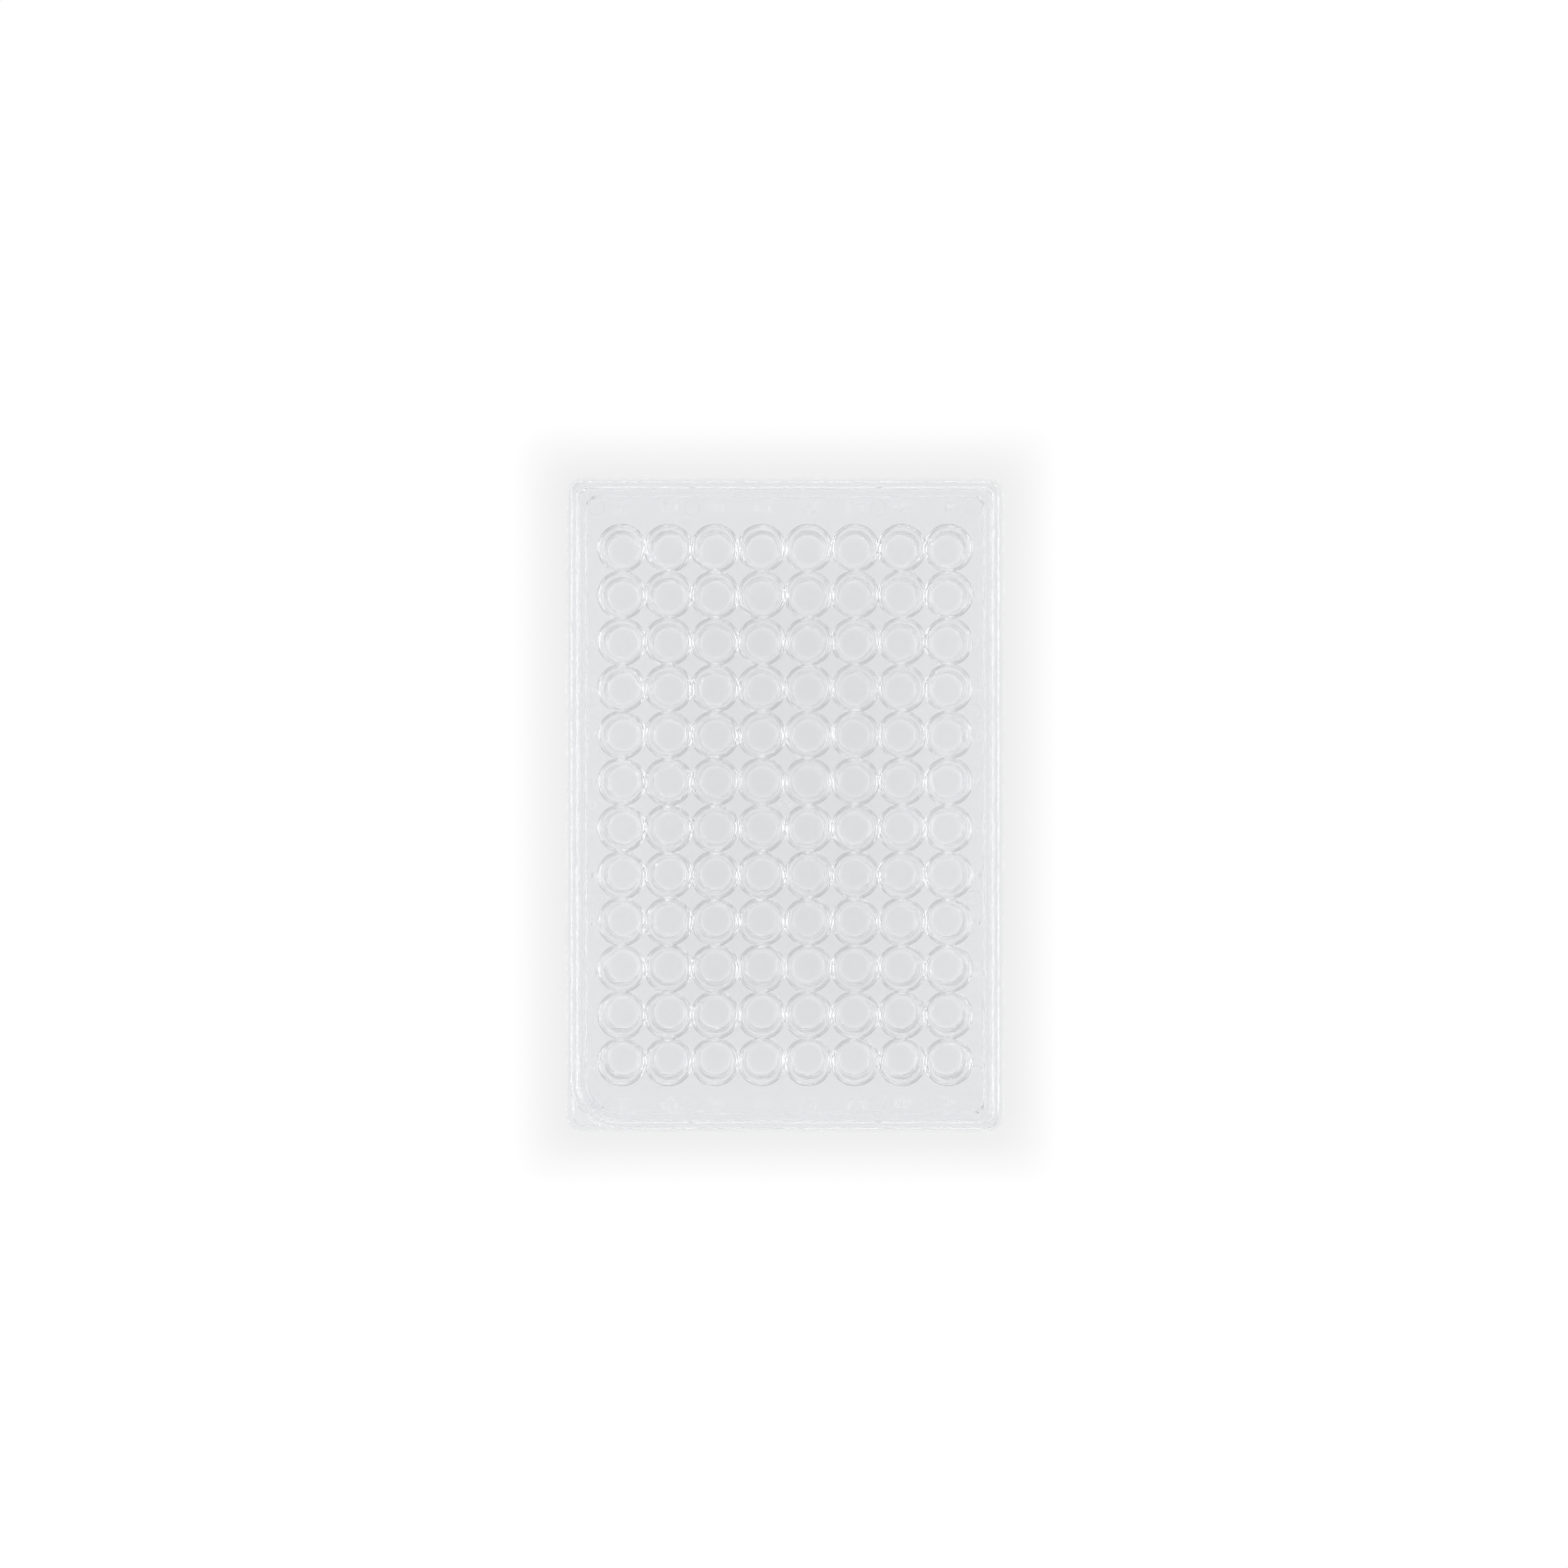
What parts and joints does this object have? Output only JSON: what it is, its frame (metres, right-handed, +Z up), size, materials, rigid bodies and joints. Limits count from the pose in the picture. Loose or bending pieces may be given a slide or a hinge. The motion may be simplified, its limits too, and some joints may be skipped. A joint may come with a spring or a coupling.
{
  "type": "well plate",
  "caption": "Clear rectangular microplate: a grid of round flat-bottomed wells in a stepped skirt, under a shallow loose lid with one large-radius corner.",
  "frame": {"origin": "middle of the footprint, on the surface that the plate stands on", "axes": "+X along the short side towards row A, +Y along the long side towards column 1, +Z up out of the wells"},
  "size_m": [0.0854, 0.1278, 0.0159],
  "materials": {
    "plate_plastic": "clear moulded polystyrene, glossy",
    "lid_plastic": "clear moulded polystyrene, glossy"
  },
  "bodies": {
    "root": {"plate": "plate_plastic", "lid": "lid_plastic"}
  },
  "joints": []
}
